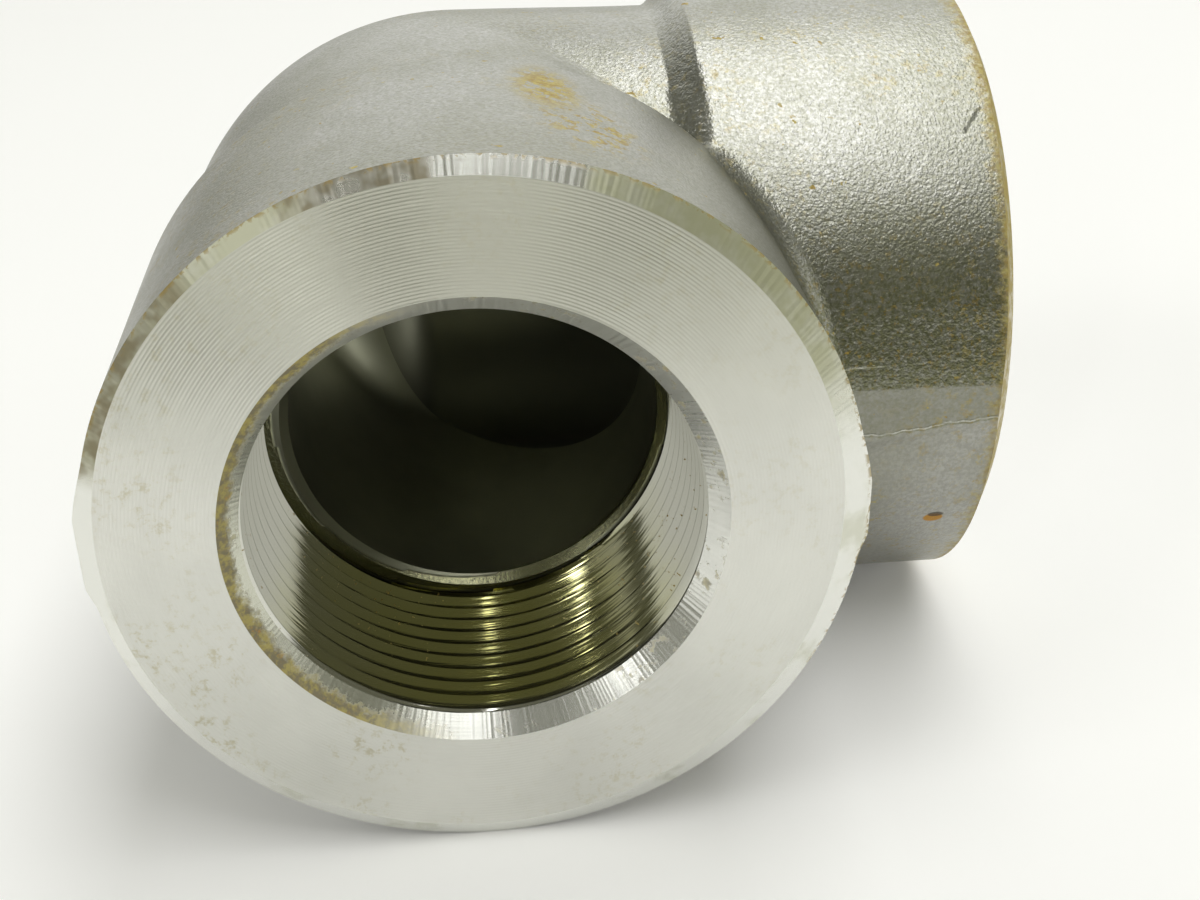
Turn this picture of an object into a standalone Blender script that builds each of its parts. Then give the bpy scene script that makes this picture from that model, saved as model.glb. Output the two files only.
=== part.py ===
"""A forged 90 degree pipe elbow with two threaded ends, modelled as the one solid that it is.

The elbow lies flat. Arm A runs towards -Y, arm B towards +X, and both axes are level. The
work follows the real order: first the forging, which is two banded arms, a ball-shaped
outer bend, a filleted crotch and the trimmed parting line round its middle, and then the
machining, which faces and chamfers the ends and cuts the sockets and the crossing bores.
The thread itself is left out here: each socket is the plain taper of its thread's crests.
"""
import math

import bmesh
import bpy
from mathutils import Matrix, Vector

MM = 0.001

# The machined ends, measured from the crossing of the two socket axes.
CENTRE_TO_END = 60.0 * MM
FACE_RADIUS = 35.45 * MM
END_CHAMFER_DEPTH = 1.2 * MM
MOUTH_RADIUS = 24.36 * MM
MOUTH_CHAMFER_DEPTH = 1.9 * MM
THREAD_CREST_RADIUS = 22.5 * MM
THREAD_TAPER = 1.0 / 32.0
SOCKET_DEPTH = 24.2 * MM

# The bores, each running past the crossing to a rounded end, and the chamfer at each one's lip.
BORE_RADIUS = 20.0 * MM
LIP_CHAMFER = 0.9 * MM
BORE_PAST_CENTRE = 2.8 * MM
BORE_END_LENGTH = 11.2 * MM

# The forging. The bands are the thick collars at the ends, and the neck is between them.
BAND_RADIUS = 37.5 * MM
NECK_RADIUS = 35.0 * MM
BAND_STEP_FROM_CENTRE = 25.2 * MM
BAND_STEP_LENGTH = 3.6 * MM
BALL_EXTRA_RADIUS = 0.3 * MM
CROTCH_FILLET = 4.0 * MM

# The forging and its bores sit a little towards the crotch, and a little low.
SHIFT_TO_CROTCH = 0.6 * MM
SHIFT_DOWN = 0.35 * MM

# The parting line's trimmed land, which slopes slightly from side to side.
LAND_PROUD = 0.45 * MM
LAND_HEIGHT = 4.8 * MM
LAND_MIDDLE = 0.6 * MM
LAND_SLOPE = -0.035

# Smoothness of the round surfaces.
TURN_STEPS = 96
BEND_STEPS = 24
BORE_END_POINTS = 6
STEP_POINTS = 6
FILLET_POINTS = 6
FILLET_SECTIONS = 30
SHARP_ANGLE = math.radians(25.0)

# How far round the neck the crotch fillet climbs each way, how deep its edges lie inside the
# arms, and the halvings that find its corner.
FILLET_CLIMB = math.radians(72.0)
FILLET_SINK = 0.08 * MM
CORNER_HALVINGS = 40

# How far shapes run past the faces that cut them, and the distances under which points are one.
OVERRUN = 3.0 * MM
SAME_POINT = 0.001 * MM
SLIVER = 0.005 * MM

STEEL_COLOUR = (0.36, 0.36, 0.31, 1.0)
STEEL_METALLIC = 0.85
STEEL_ROUGHNESS = 0.45

FORGING_CENTRE = Vector((SHIFT_TO_CROTCH, -SHIFT_TO_CROTCH, -SHIFT_DOWN))
# Half a turning step puts a narrow flat, and not a corner, under each band.
HALF_STEP = math.pi / TURN_STEPS
# A turned shape's own axis is laid along arm A, pointing out of its mouth.
TO_ARM_A = Matrix(((1.0, 0.0, 0.0, 0.0), (0.0, 0.0, -1.0, 0.0), (0.0, 1.0, 0.0, 0.0), (0.0, 0.0, 0.0, 1.0)))
# Arm B is arm A's mirror image in the upright plane through the bend.
TO_ARM_B = Matrix(((0.0, -1.0, 0.0, 0.0), (-1.0, 0.0, 0.0, 0.0), (0.0, 0.0, 1.0, 0.0), (0.0, 0.0, 0.0, 1.0)))


def clear_scene():
    """Remove every object of the open file."""
    for old in list(bpy.data.objects):
        bpy.data.objects.remove(old, do_unlink=True)


def new_collection(name):
    """Make a collection under the scene's own."""
    collection = bpy.data.collections.new(name)
    bpy.context.scene.collection.children.link(collection)
    return collection


def steel():
    """Make the plain forged steel material."""
    material = bpy.data.materials.new("forged_steel")
    material.use_nodes = True
    shader = material.node_tree.nodes["Principled BSDF"]
    shader.inputs["Base Color"].default_value = STEEL_COLOUR
    shader.inputs["Metallic"].default_value = STEEL_METALLIC
    shader.inputs["Roughness"].default_value = STEEL_ROUGHNESS
    return material


def add_object(name, mesh, collection, parent):
    """Put a mesh in a collection as a new object that follows the frame empty."""
    thing = bpy.data.objects.new(name, mesh)
    collection.objects.link(thing)
    thing.parent = parent
    return thing


def as_cutter(thing):
    """Mark a shape that is only joined to the elbow or cut from it."""
    thing.hide_render = True
    thing.display_type = "WIRE"
    return thing


def turned(name, profile, placing, collection, parent):
    """Turn a profile of (radius, height) points, given top to bottom, and lay it along arm A."""
    mesh = bpy.data.meshes.new(name)
    points = [(radius, 0.0, height) for radius, height in profile]
    edges = [(index, index + 1) for index in range(len(points) - 1)]
    mesh.from_pydata(points, edges, [])
    thing = add_object(name, mesh, collection, parent)
    screw = thing.modifiers.new("turn", "SCREW")
    screw.axis = "Z"
    screw.steps = TURN_STEPS
    screw.render_steps = TURN_STEPS
    screw.use_merge_vertices = True
    screw.merge_threshold = SAME_POINT
    graph = bpy.context.evaluated_depsgraph_get()
    thing.data = bpy.data.meshes.new_from_object(thing.evaluated_get(graph))
    thing.modifiers.clear()
    thing.data.transform(placing @ TO_ARM_A @ Matrix.Rotation(HALF_STEP, 4, "Z"))
    return thing


def mirrored(name, original, collection, parent):
    """Copy a shape of arm A to arm B."""
    mesh = original.data.copy()
    mesh.transform(TO_ARM_B)
    mesh.flip_normals()
    return add_object(name, mesh, collection, parent)


def radius_in_step(part):
    """Radius of the forging after a part of the step from band down to neck."""
    drop = (1.0 - math.cos(math.pi * part)) / 2.0
    return BAND_RADIUS + (NECK_RADIUS - BAND_RADIUS) * drop


def band_step():
    """Give the soft step from band down to neck as (radius, distance from centre) points."""
    points = []
    for index in range(STEP_POINTS + 1):
        part = index / STEP_POINTS
        distance = BAND_STEP_FROM_CENTRE + BAND_STEP_LENGTH * (0.5 - part)
        points.append((radius_in_step(part), distance))
    return points


def forged_arm_profile():
    """Profile of one arm, from past its end face down to the crossing."""
    end = CENTRE_TO_END + OVERRUN
    return [(0.0, end), (BAND_RADIUS, end)] + band_step() + [(NECK_RADIUS, 0.0), (0.0, 0.0)]


def end_cutter_profile():
    """Profile of the space that facing, chamfering and threading clear at one end.

    It runs from outside the band in along the outer chamfer, across the face, down the
    mouth chamfer, along the taper of the thread's crests and across the shoulder.
    """
    outside = BAND_RADIUS + OVERRUN
    chamfer_slope = END_CHAMFER_DEPTH / (BAND_RADIUS - FACE_RADIUS)
    outside_drop = (outside - FACE_RADIUS) * chamfer_slope
    mouth_bottom = CENTRE_TO_END - MOUTH_CHAMFER_DEPTH
    shoulder = CENTRE_TO_END - SOCKET_DEPTH
    return [
        (0.0, CENTRE_TO_END + 2.0 * OVERRUN),
        (outside, CENTRE_TO_END + 2.0 * OVERRUN),
        (outside, CENTRE_TO_END - outside_drop),
        (FACE_RADIUS, CENTRE_TO_END),
        (MOUTH_RADIUS, CENTRE_TO_END),
        (THREAD_CREST_RADIUS - MOUTH_CHAMFER_DEPTH * THREAD_TAPER, mouth_bottom),
        (THREAD_CREST_RADIUS - SOCKET_DEPTH * THREAD_TAPER, shoulder),
        (0.0, shoulder),
    ]


def rounded_end():
    """Give a bore's oval end as (radius, height) points, from its wall to its tip."""
    points = []
    for index in range(BORE_END_POINTS):
        angle = math.pi / 2.0 * index / BORE_END_POINTS
        height = -BORE_PAST_CENTRE - BORE_END_LENGTH * math.sin(angle)
        points.append((BORE_RADIUS * math.cos(angle), height))
    points.append((0.0, -BORE_PAST_CENTRE - BORE_END_LENGTH))
    return points


def bore_cutter_profile():
    """Profile of one bore: lip chamfer, wall and rounded end."""
    shoulder = CENTRE_TO_END - SOCKET_DEPTH
    lip_radius = BORE_RADIUS + LIP_CHAMFER
    lip = [
        (0.0, shoulder + OVERRUN),
        (lip_radius, shoulder + OVERRUN),
        (lip_radius, shoulder),
        (BORE_RADIUS, shoulder - LIP_CHAMFER),
    ]
    return lip + rounded_end()


def bend_ball(collection, parent):
    """Make the ball that rounds the outer bend."""
    mesh = bpy.data.meshes.new("bend_ball")
    shape = bmesh.new()
    radius = NECK_RADIUS + BALL_EXTRA_RADIUS
    bmesh.ops.create_uvsphere(shape, u_segments=TURN_STEPS, v_segments=TURN_STEPS // 2, radius=radius)
    shape.to_mesh(mesh)
    shape.free()
    ball = add_object("bend_ball", mesh, collection, parent)
    ball.location = FORGING_CENTRE
    return ball


def arc(centre, radius, start, stop, steps):
    """Give points on an arc in the plane, from one angle to another."""
    points = []
    for index in range(steps + 1):
        angle = start + (stop - start) * index / steps
        points.append((centre[0] + radius * math.cos(angle), centre[1] + radius * math.sin(angle)))
    return points


def land_outline():
    """Plan outline of the trimmed land, followed round the forging once."""
    end = CENTRE_TO_END + OVERRUN
    band = BAND_RADIUS + LAND_PROUD
    neck = NECK_RADIUS + LAND_PROUD
    step = [(radius + LAND_PROUD, distance) for radius, distance in band_step()]
    crotch = band + CROTCH_FILLET
    outline = [(-band, -end)]
    outline += [(-radius, -distance) for radius, distance in step]
    outline += arc((0.0, 0.0), neck, math.pi, math.pi / 2.0, BEND_STEPS)
    outline += [(distance, radius) for radius, distance in reversed(step)]
    outline += [(end, band), (end, -band)]
    outline += arc((crotch, -crotch), CROTCH_FILLET, math.pi / 2.0, math.pi, FILLET_POINTS)
    outline += [(band, -end)]
    return outline


def parting_land(collection, parent):
    """Extrude the land's outline, then slope it from side to side."""
    outline = land_outline()
    curve = bpy.data.curves.new("parting_land", "CURVE")
    curve.dimensions = "2D"
    curve.fill_mode = "BOTH"
    curve.extrude = LAND_HEIGHT / 2.0
    spline = curve.splines.new("POLY")
    spline.points.add(len(outline) - 1)
    for point, (x, y) in zip(spline.points, outline):
        point.co = (x, y, 0.0, 1.0)
    spline.use_cyclic_u = True
    drawn = bpy.data.objects.new("parting_land_curve", curve)
    collection.objects.link(drawn)
    graph = bpy.context.evaluated_depsgraph_get()
    mesh = bpy.data.meshes.new_from_object(drawn.evaluated_get(graph))
    bpy.data.objects.remove(drawn, do_unlink=True)
    shape = bmesh.new()
    shape.from_mesh(mesh)
    bmesh.ops.remove_doubles(shape, verts=shape.verts, dist=SAME_POINT)
    slope = Matrix.Identity(4)
    slope[2][0] = LAND_SLOPE
    bmesh.ops.transform(shape, matrix=slope, verts=shape.verts)
    bmesh.ops.recalc_face_normals(shape, faces=shape.faces)
    shape.to_mesh(mesh)
    shape.free()
    land = add_object("parting_land", mesh, collection, parent)
    land.location = (FORGING_CENTRE.x, FORGING_CENTRE.y, LAND_MIDDLE)
    return land


def local_radius(distance):
    """Radius of the forging at a distance from the centre along an arm."""
    part = (BAND_STEP_FROM_CENTRE - distance) / BAND_STEP_LENGTH + 0.5
    return radius_in_step(min(1.0, max(0.0, part)))


def half_width(distance, height):
    """Half of an arm's width at a distance along it and a height over its axis, a little sunk."""
    radius = local_radius(distance) - FILLET_SINK
    return math.sqrt(max(0.0, radius ** 2 - height ** 2))


def crotch_corner(height):
    """Distance from the centre at which the two arms' outlines meet, at a height."""
    near = half_width(0.0, height)
    far = half_width(CENTRE_TO_END, height)
    for _ in range(CORNER_HALVINGS):
        middle = (near + far) / 2.0
        if half_width(middle, height) > middle:
            near = middle
        else:
            far = middle
    return near


def fillet_section(height):
    """Give one level section of the crotch fillet.

    At every height the arms' outlines meet square, so the section is a quarter arc from
    one outline to the other. It shrinks as the arms flatten towards their tops, which is
    how a ball rolled along the seam would touch them. The last point lies inside the metal.
    """
    corner = crotch_corner(height)
    radius = CROTCH_FILLET * corner / local_radius(corner)
    centre = corner + radius
    outline = arc((centre, -centre), radius, math.pi, math.pi / 2.0, FILLET_POINTS)
    outline.append((corner - radius, radius - corner))
    return [(x, y, height) for x, y in outline]


def crotch_fillet(collection, parent):
    """Loft the fillet that rounds the crotch, following the seam between the arms."""
    shape = bmesh.new()
    rings = []
    for index in range(FILLET_SECTIONS + 1):
        angle = FILLET_CLIMB * (2.0 * index / FILLET_SECTIONS - 1.0)
        section = fillet_section(NECK_RADIUS * math.sin(angle))
        rings.append([shape.verts.new(point) for point in section])
    count = len(rings[0])
    for lower, upper in zip(rings, rings[1:]):
        for index in range(count):
            following = (index + 1) % count
            shape.faces.new((lower[index], lower[following], upper[following], upper[index]))
    shape.faces.new(rings[0])
    shape.faces.new(rings[-1])
    bmesh.ops.recalc_face_normals(shape, faces=shape.faces)
    mesh = bpy.data.meshes.new("crotch_fillet")
    shape.to_mesh(mesh)
    shape.free()
    fillet = add_object("crotch_fillet", mesh, collection, parent)
    fillet.location = FORGING_CENTRE
    return fillet


def boolean(target, operation, other):
    """Join another shape to the target, or cut it away."""
    step = target.modifiers.new(other.name, "BOOLEAN")
    step.operation = operation
    step.solver = "EXACT"
    step.object = as_cutter(other)


def finish(elbow, material):
    """Turn the elbow's modifiers into its mesh, weld its slivers and shade it."""
    graph = bpy.context.evaluated_depsgraph_get()
    mesh = bpy.data.meshes.new_from_object(elbow.evaluated_get(graph))
    elbow.modifiers.clear()
    shape = bmesh.new()
    shape.from_mesh(mesh)
    bmesh.ops.remove_doubles(shape, verts=shape.verts, dist=SLIVER)
    bmesh.ops.dissolve_degenerate(shape, edges=shape.edges, dist=SLIVER)
    shape.to_mesh(mesh)
    shape.free()
    elbow.data = mesh
    mesh.name = "elbow_body"
    mesh.materials.clear()
    mesh.materials.append(material)
    mesh.shade_smooth()
    mesh.set_sharp_from_angle(angle=SHARP_ANGLE)


def build():
    """Model the forging, machine it, and stand the frame's origin under its middle."""
    clear_scene()
    parts = new_collection("forged_elbow")
    cutters = new_collection("cutters")
    frame = bpy.data.objects.new("elbow_frame", None)
    parts.objects.link(frame)

    on_machined_axis = Matrix.Identity(4)
    on_forged_axis = Matrix.Translation((SHIFT_TO_CROTCH, 0.0, -SHIFT_DOWN))
    elbow = turned("elbow_body", forged_arm_profile(), on_forged_axis, parts, frame)
    end_cutter = turned("end_cutter_a", end_cutter_profile(), on_machined_axis, cutters, frame)
    bore_cutter = turned("bore_cutter_a", bore_cutter_profile(), on_forged_axis, cutters, frame)

    boolean(elbow, "UNION", mirrored("arm_b", elbow, cutters, frame))
    boolean(elbow, "UNION", bend_ball(cutters, frame))
    boolean(elbow, "UNION", crotch_fillet(cutters, frame))
    boolean(elbow, "UNION", parting_land(cutters, frame))
    boolean(elbow, "DIFFERENCE", end_cutter)
    boolean(elbow, "DIFFERENCE", mirrored("end_cutter_b", end_cutter, cutters, frame))
    boolean(elbow, "DIFFERENCE", bore_cutter)
    boolean(elbow, "DIFFERENCE", mirrored("bore_cutter_b", bore_cutter, cutters, frame))
    finish(elbow, steel())

    widest = BAND_RADIUS + LAND_PROUD - SHIFT_TO_CROTCH
    sideways = (CENTRE_TO_END - widest) / 2.0
    rest_height = BAND_RADIUS * math.cos(HALF_STEP) + SHIFT_DOWN
    frame.location = (-sideways, sideways, rest_height)


build()
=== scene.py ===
"""The looks of a forged 90 degree pipe elbow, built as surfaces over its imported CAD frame.

The forging's skin, the turned ends, the threads and the bores are each a surface worked out
with numpy from the sizes below. All lengths are in metres, in the same frame as the CAD.
"""
import math

import bmesh
import bpy
import numpy as np
from mathutils import Matrix, Vector


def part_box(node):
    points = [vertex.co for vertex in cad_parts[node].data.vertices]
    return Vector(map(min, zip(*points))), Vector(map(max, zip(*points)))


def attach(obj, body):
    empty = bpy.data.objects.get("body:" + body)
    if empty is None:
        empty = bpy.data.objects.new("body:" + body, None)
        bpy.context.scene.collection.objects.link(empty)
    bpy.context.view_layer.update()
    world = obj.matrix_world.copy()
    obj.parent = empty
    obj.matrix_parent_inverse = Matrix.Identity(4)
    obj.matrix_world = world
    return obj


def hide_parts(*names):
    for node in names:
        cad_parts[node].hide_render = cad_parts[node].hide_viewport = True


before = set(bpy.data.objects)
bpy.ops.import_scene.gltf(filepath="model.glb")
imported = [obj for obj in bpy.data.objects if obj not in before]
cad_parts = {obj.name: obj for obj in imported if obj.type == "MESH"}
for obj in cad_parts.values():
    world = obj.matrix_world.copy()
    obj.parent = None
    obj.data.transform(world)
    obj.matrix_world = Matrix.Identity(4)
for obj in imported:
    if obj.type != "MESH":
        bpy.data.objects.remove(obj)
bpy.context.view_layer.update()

bl_info = {
    "name": "Forged Elbow",
    "version": (1, 0, 0),
    "blender": (4, 5, 0),
    "location": "3D View > Sidebar > Elbow",
    "description": "Builds the skin, turned ends, threads and bores of a forged pipe elbow",
    "category": "Object",
}

NODE = "elbow_body"
BODY = "root"
MM = 0.001
FULL_TURN = 2.0 * math.pi
CHAMFER_RADIUS = 37.5 * MM  # The CAD's band, at whose radius the end chamfer's depth is given.
THREAD_START = 2.0 * MM  # How far along its axis the thread's first groove is.
ARMS = "ab"  # Arm A points towards -Y and arm B towards +X.
LAMP_AIM = (0.0, 0.0, 0.04)
LAMPS = (
    # Name, direction from the elbow, distance, width and height, power in watts.
    ("overhead", (0.21, -0.01, 0.97), 1.1, (1.50, 0.56), 9.2),
    ("behind", (0.05, 0.88, 0.47), 1.6, (2.4, 1.3), 11.5),
    ("front_left", (-0.43, -0.82, 0.37), 1.0, (0.06, 0.24), 0.52),
    ("front", (-0.06, -0.84, 0.53), 1.0, (0.035, 0.30), 0.19),
    ("front_right", (0.26, -0.80, 0.53), 1.0, (0.035, 0.14), 0.057),
    ("low_left", (-0.62, -0.76, 0.20), 1.0, (0.30, 0.25), 0.09),
    ("upper_front", (0.20, -0.62, 0.77), 1.0, (0.50, 0.20), 0.50),
    ("right", (0.95, -0.20, 0.30), 1.1, (0.60, 0.60), 1.3),
    ("left", (-0.73, -0.38, 0.57), 1.0, (0.40, 0.40), 1.8),
)


# Sizes and colours that a user would change.

def length(name, millimetres, description):
    """A length property whose default is given in millimetres."""
    return bpy.props.FloatProperty(
        name=name, description=description, default=millimetres * MM, unit="LENGTH", precision=5)


def colour(name, default, description):
    """A linear colour property."""
    return bpy.props.FloatVectorProperty(
        name=name, description=description, default=default, subtype="COLOR", size=3, min=0.0, max=1.0)


def number(name, default, description):
    """A plain number property."""
    return bpy.props.FloatProperty(name=name, description=description, default=default)


class ElbowSizes(bpy.types.PropertyGroup):
    """Sizes of the elbow, those of its CAD source or a little inside them."""
    centre_to_end: length("Centre to end", 60.0, "From the crossing of the socket axes to an end face")
    face_radius: length("Face radius", 35.45, "Outer radius of the flat end face")
    end_chamfer_depth: length("End chamfer depth", 1.2, "Depth of the outer chamfer at the band's radius")
    mouth_radius: length("Mouth radius", 24.36, "Radius of the mouth in the end face")
    mouth_chamfer_depth: length("Mouth chamfer depth", 1.9, "Depth where the mouth chamfer meets the thread")
    crest_radius: length("Thread crest radius", 22.5, "Radius of the thread's crests at the end face")
    thread_height: length("Thread height", 1.6, "Depth of the thread's grooves below its crests")
    thread_pitch: length("Thread pitch", 2.2087, "Distance from one groove to the next")
    socket_depth: length("Socket depth", 24.2, "Depth of the socket's shoulder")
    bore_radius: length("Bore radius", 20.0, "Radius of both bores")
    lip_chamfer: length("Lip chamfer", 0.9, "Chamfer where a bore opens into its socket")
    bore_past_centre: length("Bore past centre", 2.8, "How far a bore's wall runs past the crossing")
    bore_end_length: length("Bore end length", 11.2, "Length of a bore's rounded end")
    band_radius: length("Band radius", 37.45, "Radius of the thick bands, just inside the CAD's flats")
    neck_radius: length("Neck radius", 35.0, "Radius of the arms between the bands")
    band_step_from_centre: length("Band step", 25.2, "Middle of the step from band to neck")
    band_step_length: length("Band step length", 3.6, "Length of the step from band to neck")
    bend_extra: length("Bend extra radius", 0.3, "How much more radius the outer bend has than the neck")
    crotch_fillet: length("Crotch fillet", 4.0, "Radius of the fillet in the crotch")
    shift_to_crotch: length("Shift to crotch", 0.6, "How far the forging sits towards the crotch")
    shift_down: length("Shift down", 0.35, "How far the forging sits low of the machined axes")
    land_proud: length("Land proud", 0.45, "How far the trimmed parting land stands out")
    land_soft_top: length("Land soft top", 6.5, "Width over which the land's upper edge fades out")
    land_soft_bottom: length("Land soft bottom", 2.4, "Width over which the land's lower edge fades out")
    land_top: length("Land top", 3.2, "Height of the land's upper edge over the forging's centre")
    land_top_slope: number("Land top slope", -0.02, "Rise of the upper edge for each unit towards arm B")
    land_bottom: length("Land bottom", -3.3, "Height of the land's lower edge over the forging's centre")
    land_bottom_slope: number("Land bottom slope", 0.094, "Rise of the lower edge near arm B's end")
    land_slope_from: length("Land slope from", 43.0, "Where the lower edge starts to rise")
    flash_line: length("Flash line", 4.16, "Height of the thin flash line over the forging's centre")
    flash_line_slope: number("Flash line slope", 0.018, "Rise of the flash line for each unit towards arm B")


def mark(name, place, description):
    """The place of a mark on the skin, given in millimetres in the frame."""
    return bpy.props.FloatVectorProperty(
        name=name, description=description, default=[c * MM for c in place], subtype="TRANSLATION",
        unit="LENGTH", precision=5)


class SteelFinish(bpy.types.PropertyGroup):
    """Colours of the steel's finishes, and the places of its marks."""
    forged: colour("Forged skin", (0.44, 0.44, 0.425), "The shot-blasted forged skin")
    forged_dark: colour("Forged skin, dark", (0.35, 0.35, 0.31), "The darker patches of the forged skin")
    parting: colour("Parting", (0.27, 0.27, 0.24), "The trimmed parting land and the skin under it")
    turned: colour("Turned steel", (0.77, 0.77, 0.72), "The turned end faces")
    bright: colour("Bright steel", (0.79, 0.795, 0.75), "The polished chamfers")
    film: colour("Olive film", (0.48, 0.485, 0.32), "The olive film on the chamfers")
    thread: colour("Thread steel", (0.40, 0.40, 0.35), "The thread flanks")
    # Painted highlight: the first turns of each thread are made lighter.
    first_turns_highlight: colour("Thread start", (0.66, 0.66, 0.60), "The bright first turn of the threads")
    oil: colour("Oiled steel", (0.42, 0.41, 0.16), "The oil film low in the threads")
    bore: colour("Bore steel", (0.40, 0.405, 0.30), "The oiled bores")
    rust: colour("Rust", (0.33, 0.225, 0.035), "Thin yellow-brown rust")
    rust_light: colour("Light rust", (0.46, 0.38, 0.10), "Dusty yellow rust")
    rust_orange: colour("Orange rust", (0.50, 0.25, 0.03), "Fresh rust in the chip")
    dust: colour("Dust", (0.20, 0.205, 0.115), "Fine olive dust in the dimples of the skin")
    # Partly painted shade: this dark olive darkens arm B's side as well as standing for dust.
    side_dust_and_shade: colour("Dust, side", (0.14, 0.145, 0.055), "Darker olive dust on the side of arm B")
    stain: colour("Stain", (0.22, 0.185, 0.10), "Brown stains on the end chamfers")
    # Painted shade towards the top of the end faces.
    top_shade: colour("Veil", (0.76, 0.76, 0.70), "By how much the end faces are darker near their top")
    lip: colour("Bore lip", (0.33, 0.33, 0.20), "The grainy chamfer where a bore opens")
    # Painted shade: near black on the shoulder where each thread ends.
    corner: colour("Shoulder corner", (0.02, 0.02, 0.015), "Dirt where a thread ends at its shoulder")
    # Painted shade: near black deep in the thread's grooves.
    roots: colour("Thread roots", (0.03, 0.03, 0.02), "Dirt in the thread's roots")
    chip_shade: colour("Chip shade", (0.05, 0.035, 0.02), "The dark edge over the rusty chip")
    ring_pitch: length("Ring pitch", 0.342, "Distance between the tool marks on the end faces")
    rust_place: mark("Rust patch", (-2.0, -24.8, 73.9), "The largest rust patch, on top of arm A's band")
    rust_trail_place: mark("Rust trail", (1.4, -35.0, 72.9), "The crumbs of rust beside that patch")
    gouge_place: mark("Gouge", (45.3, -14.2, 65.4), "A gouge near arm B's end")
    chip_place: mark("Rust chip", (42.1, -22.6, 20.3), "A rusty chip low on arm B")
    # Centre of the dust and of the painted shade on arm B's side.
    dust_and_shade_place: mark("Dusty side", (39.0, -25.5, 42.0), "Where golden dust clings to the side of arm B")


class StudioSettings(bpy.types.PropertyGroup):
    """The camera, the floor and the even light."""
    camera_place: bpy.props.FloatVectorProperty(
        name="Camera place", description="Where the camera stands", subtype="TRANSLATION",
        unit="LENGTH", default=(-0.012479, -0.178955, 0.116706))
    camera_turn: bpy.props.FloatVectorProperty(
        name="Camera turn", description="Azimuth, elevation and roll of the view", subtype="EULER",
        unit="ROTATION", default=(math.radians(-5.654), math.radians(28.316), math.radians(-0.821)))
    lens: bpy.props.FloatProperty(
        name="Focal length", description="Focal length in millimetres on a 36 mm sensor", default=47.947)
    floor: colour("Floor", (0.90, 0.90, 0.885), "The pale floor")
    floor_glow: number("Floor glow", 0.10, "How much lighter the floor looks than its light alone makes it")
    floor_size: length("Floor size", 5000.0, "Length of the floor's sides")
    world: number("World level", 0.12, "Strength of the even light")
    world_colour: colour("World colour", (1.0, 1.0, 0.66), "Colour of the even light")


# The forging's shape.

def centres(sizes):
    """The crossing of the machined axes and the forging's centre, both worked out from the CAD's box."""
    low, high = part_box(NODE)
    level = (low.z + high.z) / 2.0
    machined = np.array((high.x - sizes.centre_to_end, low.y + sizes.centre_to_end, level + sizes.shift_down))
    shift = np.array((sizes.shift_to_crotch, -sizes.shift_to_crotch, -sizes.shift_down))
    return machined, machined + shift


def arm_radius(sizes, distance):
    """Radius of an arm at a distance from the centre.

    The band's radius drops to the neck's by half a cosine wave over the step's length, and
    the neck swells by half a cosine wave to the outer bend's radius at the centre.
    """
    part = np.clip((sizes.band_step_from_centre - distance) / sizes.band_step_length + 0.5, 0.0, 1.0)
    drop = (1.0 - np.cos(np.pi * part)) / 2.0
    reach = sizes.band_step_from_centre - sizes.band_step_length
    swell = (1.0 + np.cos(np.pi * np.clip(distance / reach, 0.0, 1.0))) / 2.0
    return sizes.band_radius + (sizes.neck_radius - sizes.band_radius) * drop + sizes.bend_extra * swell


def forging_field(sizes, points):
    """Signed distance, roughly, from the forging without its land, negative inside.

    Each arm is the distance from its axis less its radius, and beyond the centre the distance
    from the centre less the bend's radius. The two are joined by a round union, whose radius
    is the fillet's, shrunk as the two surfaces come to face the same way.
    """
    x, y, z = points.T
    bend_radius = sizes.neck_radius + sizes.bend_extra
    from_centre = np.linalg.norm(points, axis=1)
    arm_a = np.where(y < 0.0, np.hypot(x, z) - arm_radius(sizes, -y), from_centre - bend_radius)
    arm_b = np.where(x > 0.0, np.hypot(y, z) - arm_radius(sizes, x), from_centre - bend_radius)
    facing_a = np.stack((x, np.maximum(y, 0.0), z), axis=1)
    facing_b = np.stack((np.minimum(x, 0.0), y, z), axis=1)
    reach = np.linalg.norm(facing_a, axis=1) * np.linalg.norm(facing_b, axis=1) + 1e-12
    together = np.clip((facing_a * facing_b).sum(axis=1) / reach, -1.0, 1.0)
    half_turn = np.sqrt((1.0 + together) / 2.0)
    round_radius = sizes.crotch_fillet * (1.0 - half_turn) / (1.0 - math.sqrt(0.5))
    corner = np.hypot(np.maximum(round_radius - arm_a, 0.0), np.maximum(round_radius - arm_b, 0.0))
    return np.maximum(round_radius, np.minimum(arm_a, arm_b)) - corner


def smooth(x):
    """Soft step from nought to one."""
    x = np.clip(x, 0.0, 1.0)
    return x * x * (3.0 - 2.0 * x)


def torn(points):
    """How far the land's lower edge is torn up or down: a sum of sines along the skin, in metres."""
    along = (points[:, 0] + points[:, 1]) / MM
    waves = np.sin(along * 0.47 + 0.8) + 0.7 * np.sin(along * 1.31 + 2.1) + 0.5 * np.sin(along * 3.7)
    return 0.13 * MM * waves


def land_edges(sizes, points):
    """How far points are over the land's upper edge and under its lower one, in metres."""
    over = points[:, 2] - sizes.land_top - sizes.land_top_slope * points[:, 0]
    rise = sizes.land_bottom_slope * np.maximum(points[:, 0] - sizes.land_slope_from, 0.0)
    under = sizes.land_bottom + rise + torn(points) - points[:, 2]
    return over, under


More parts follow.
